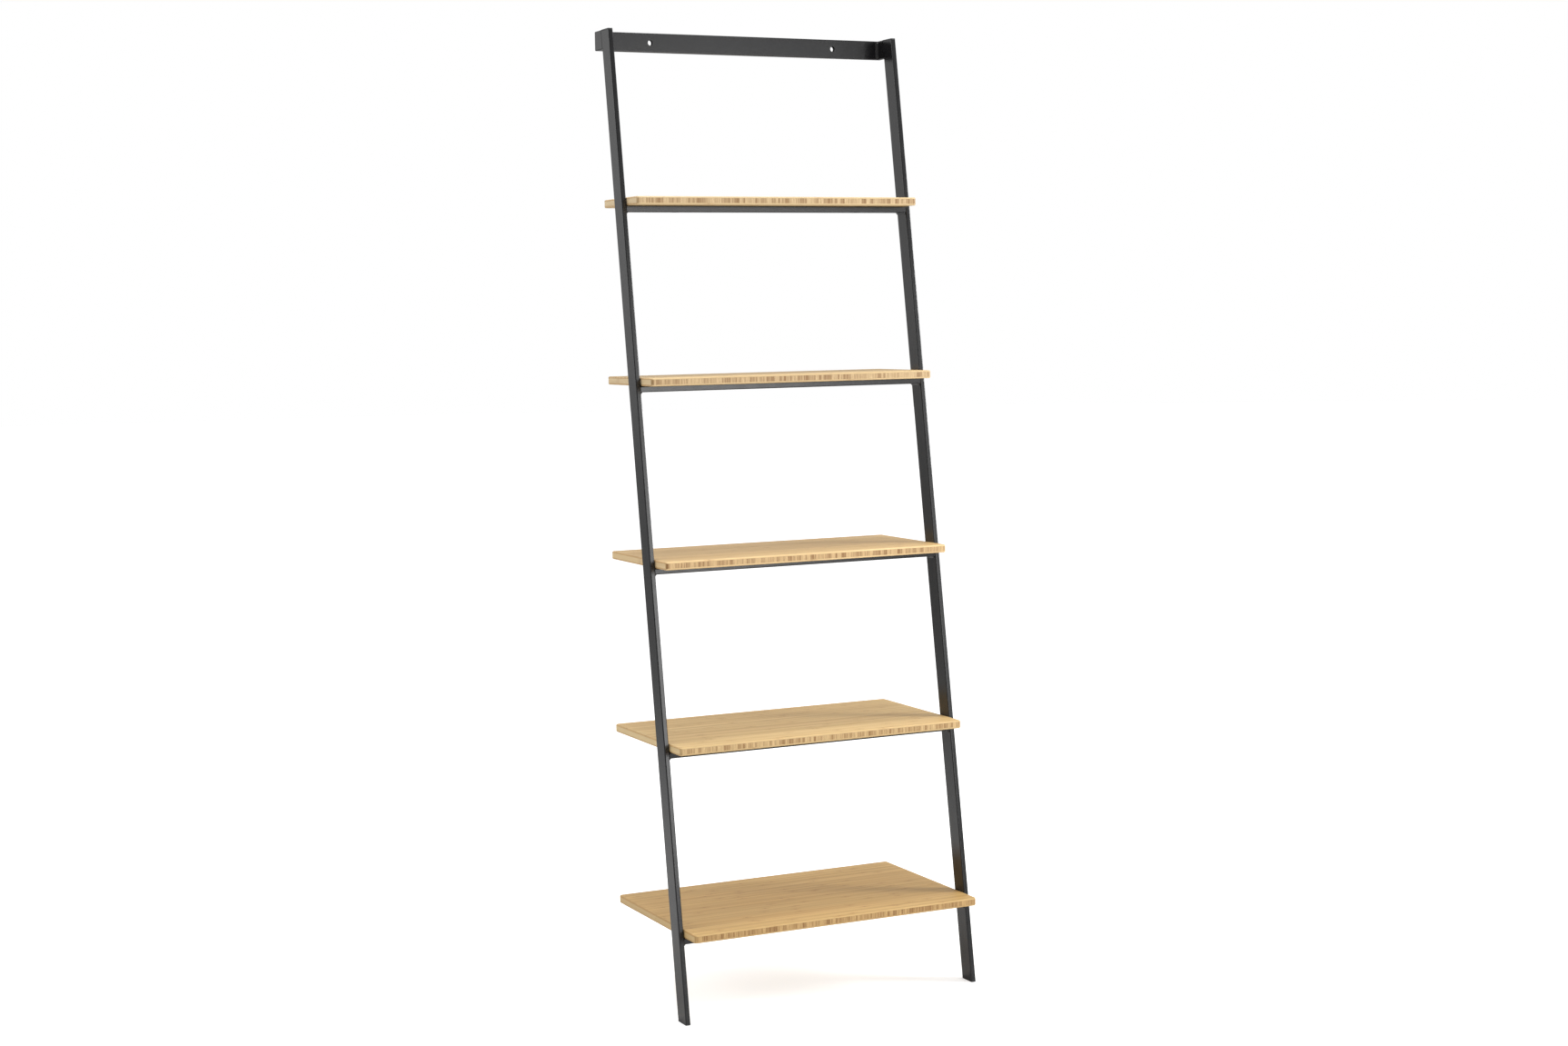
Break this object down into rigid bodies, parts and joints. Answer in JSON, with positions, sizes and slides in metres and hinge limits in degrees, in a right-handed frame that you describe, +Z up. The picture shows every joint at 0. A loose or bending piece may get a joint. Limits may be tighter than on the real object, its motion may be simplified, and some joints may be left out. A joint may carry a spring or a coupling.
{
  "type": "ladder shelf",
  "caption": "Leaning wall shelf: flat steel uprights joined by a wall bar at the top carry bamboo boards on cross rails, each board deeper than the one above.",
  "frame": {"origin": "centre of the footprint on the floor, midway between the wall plane and the front edge of the lowest board", "axes": "+X to the viewer's right along the boards, +Y back to the wall, +Z up; the front faces -Y"},
  "size_m": [0.635, 0.381, 1.905],
  "materials": {
    "powder_coated_steel": "fine-textured satin black powder coat",
    "bamboo": "clear satin lacquer on caramel bamboo, long grain along the board",
    "black_plastic": "matte moulded",
    "zinc_plated_steel": "bright zinc plating",
    "brass": "turned"
  },
  "bodies": {
    "root": {"left_upright": "powder_coated_steel", "right_upright": "powder_coated_steel", "wall_bar": "powder_coated_steel", "left_wall_arm": "powder_coated_steel", "right_wall_arm": "powder_coated_steel", "shelf_rail_1": "powder_coated_steel", "shelf_rail_2": "powder_coated_steel", "shelf_rail_3": "powder_coated_steel", "shelf_rail_4": "powder_coated_steel", "shelf_rail_5": "powder_coated_steel", "shelf_board_1": "bamboo", "shelf_board_2": "bamboo", "shelf_board_3": "bamboo", "shelf_board_4": "bamboo", "shelf_board_5": "bamboo", "shelf_bolts_1": "zinc_plated_steel", "shelf_bolts_2": "zinc_plated_steel", "shelf_bolts_3": "zinc_plated_steel", "shelf_bolts_4": "zinc_plated_steel", "shelf_bolts_5": "zinc_plated_steel", "shelf_inserts_1": "brass", "shelf_inserts_2": "brass", "shelf_inserts_3": "brass", "shelf_inserts_4": "brass", "shelf_inserts_5": "brass", "left_foot_plug": "black_plastic", "right_foot_plug": "black_plastic", "left_top_cap": "black_plastic", "right_top_cap": "black_plastic", "rail_welds": "powder_coated_steel", "wall_bar_welds": "powder_coated_steel"}
  },
  "joints": []
}
